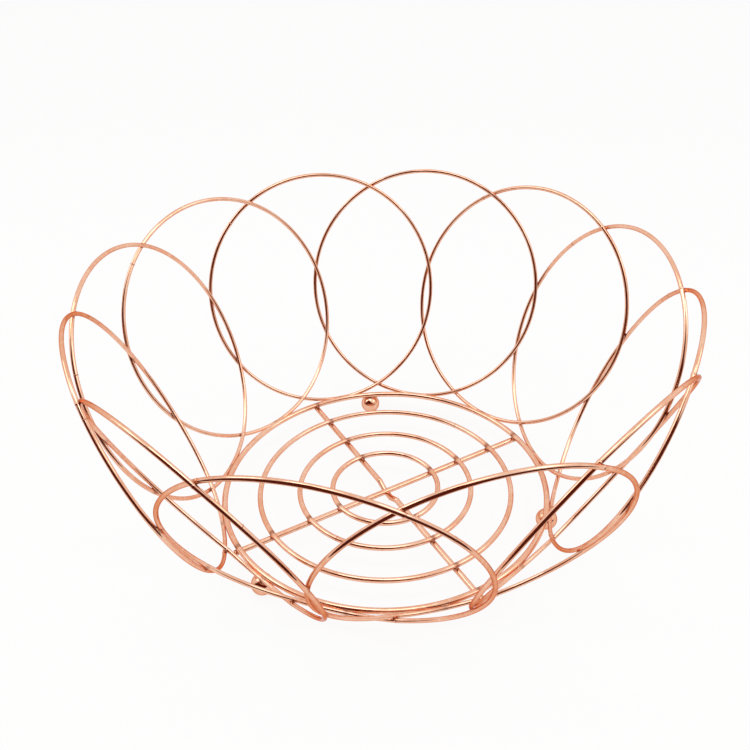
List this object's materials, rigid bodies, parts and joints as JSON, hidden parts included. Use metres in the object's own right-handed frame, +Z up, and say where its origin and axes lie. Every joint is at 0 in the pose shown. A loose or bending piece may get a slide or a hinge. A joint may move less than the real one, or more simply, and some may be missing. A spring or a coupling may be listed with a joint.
{
  "type": "wire produce basket",
  "caption": "Round open wire basket for fruit and vegetables: overlapping welded wire hoops lean outwards from a ringed wire base on small ball feet.",
  "frame": {"origin": "centre of the basket, on the surface that its three ball feet stand on", "axes": "+Z up through the mouth; +X through the middle of hoop_01, and the hoops are numbered counter-clockwise seen from above"},
  "size_m": [0.2828, 0.2828, 0.1357],
  "materials": {
    "hoop_wire": "polished rose-copper plating on steel wire",
    "base_wire": "polished rose-copper plating on steel wire",
    "foot_ball": "polished rose-copper plating on steel balls"
  },
  "bodies": {
    "root": {"base_ring": "base_wire", "ring_large": "base_wire", "ring_medium": "base_wire", "ring_small": "base_wire", "upper_cross_rod": "base_wire", "lower_cross_rod": "base_wire", "foot_rear": "foot_ball", "foot_left": "foot_ball", "foot_right": "foot_ball", "hoop_01": "hoop_wire", "hoop_02": "hoop_wire", "hoop_03": "hoop_wire", "hoop_04": "hoop_wire", "hoop_05": "hoop_wire", "hoop_06": "hoop_wire", "hoop_07": "hoop_wire", "hoop_08": "hoop_wire", "hoop_09": "hoop_wire", "hoop_10": "hoop_wire", "hoop_11": "hoop_wire", "hoop_12": "hoop_wire"}
  },
  "joints": []
}
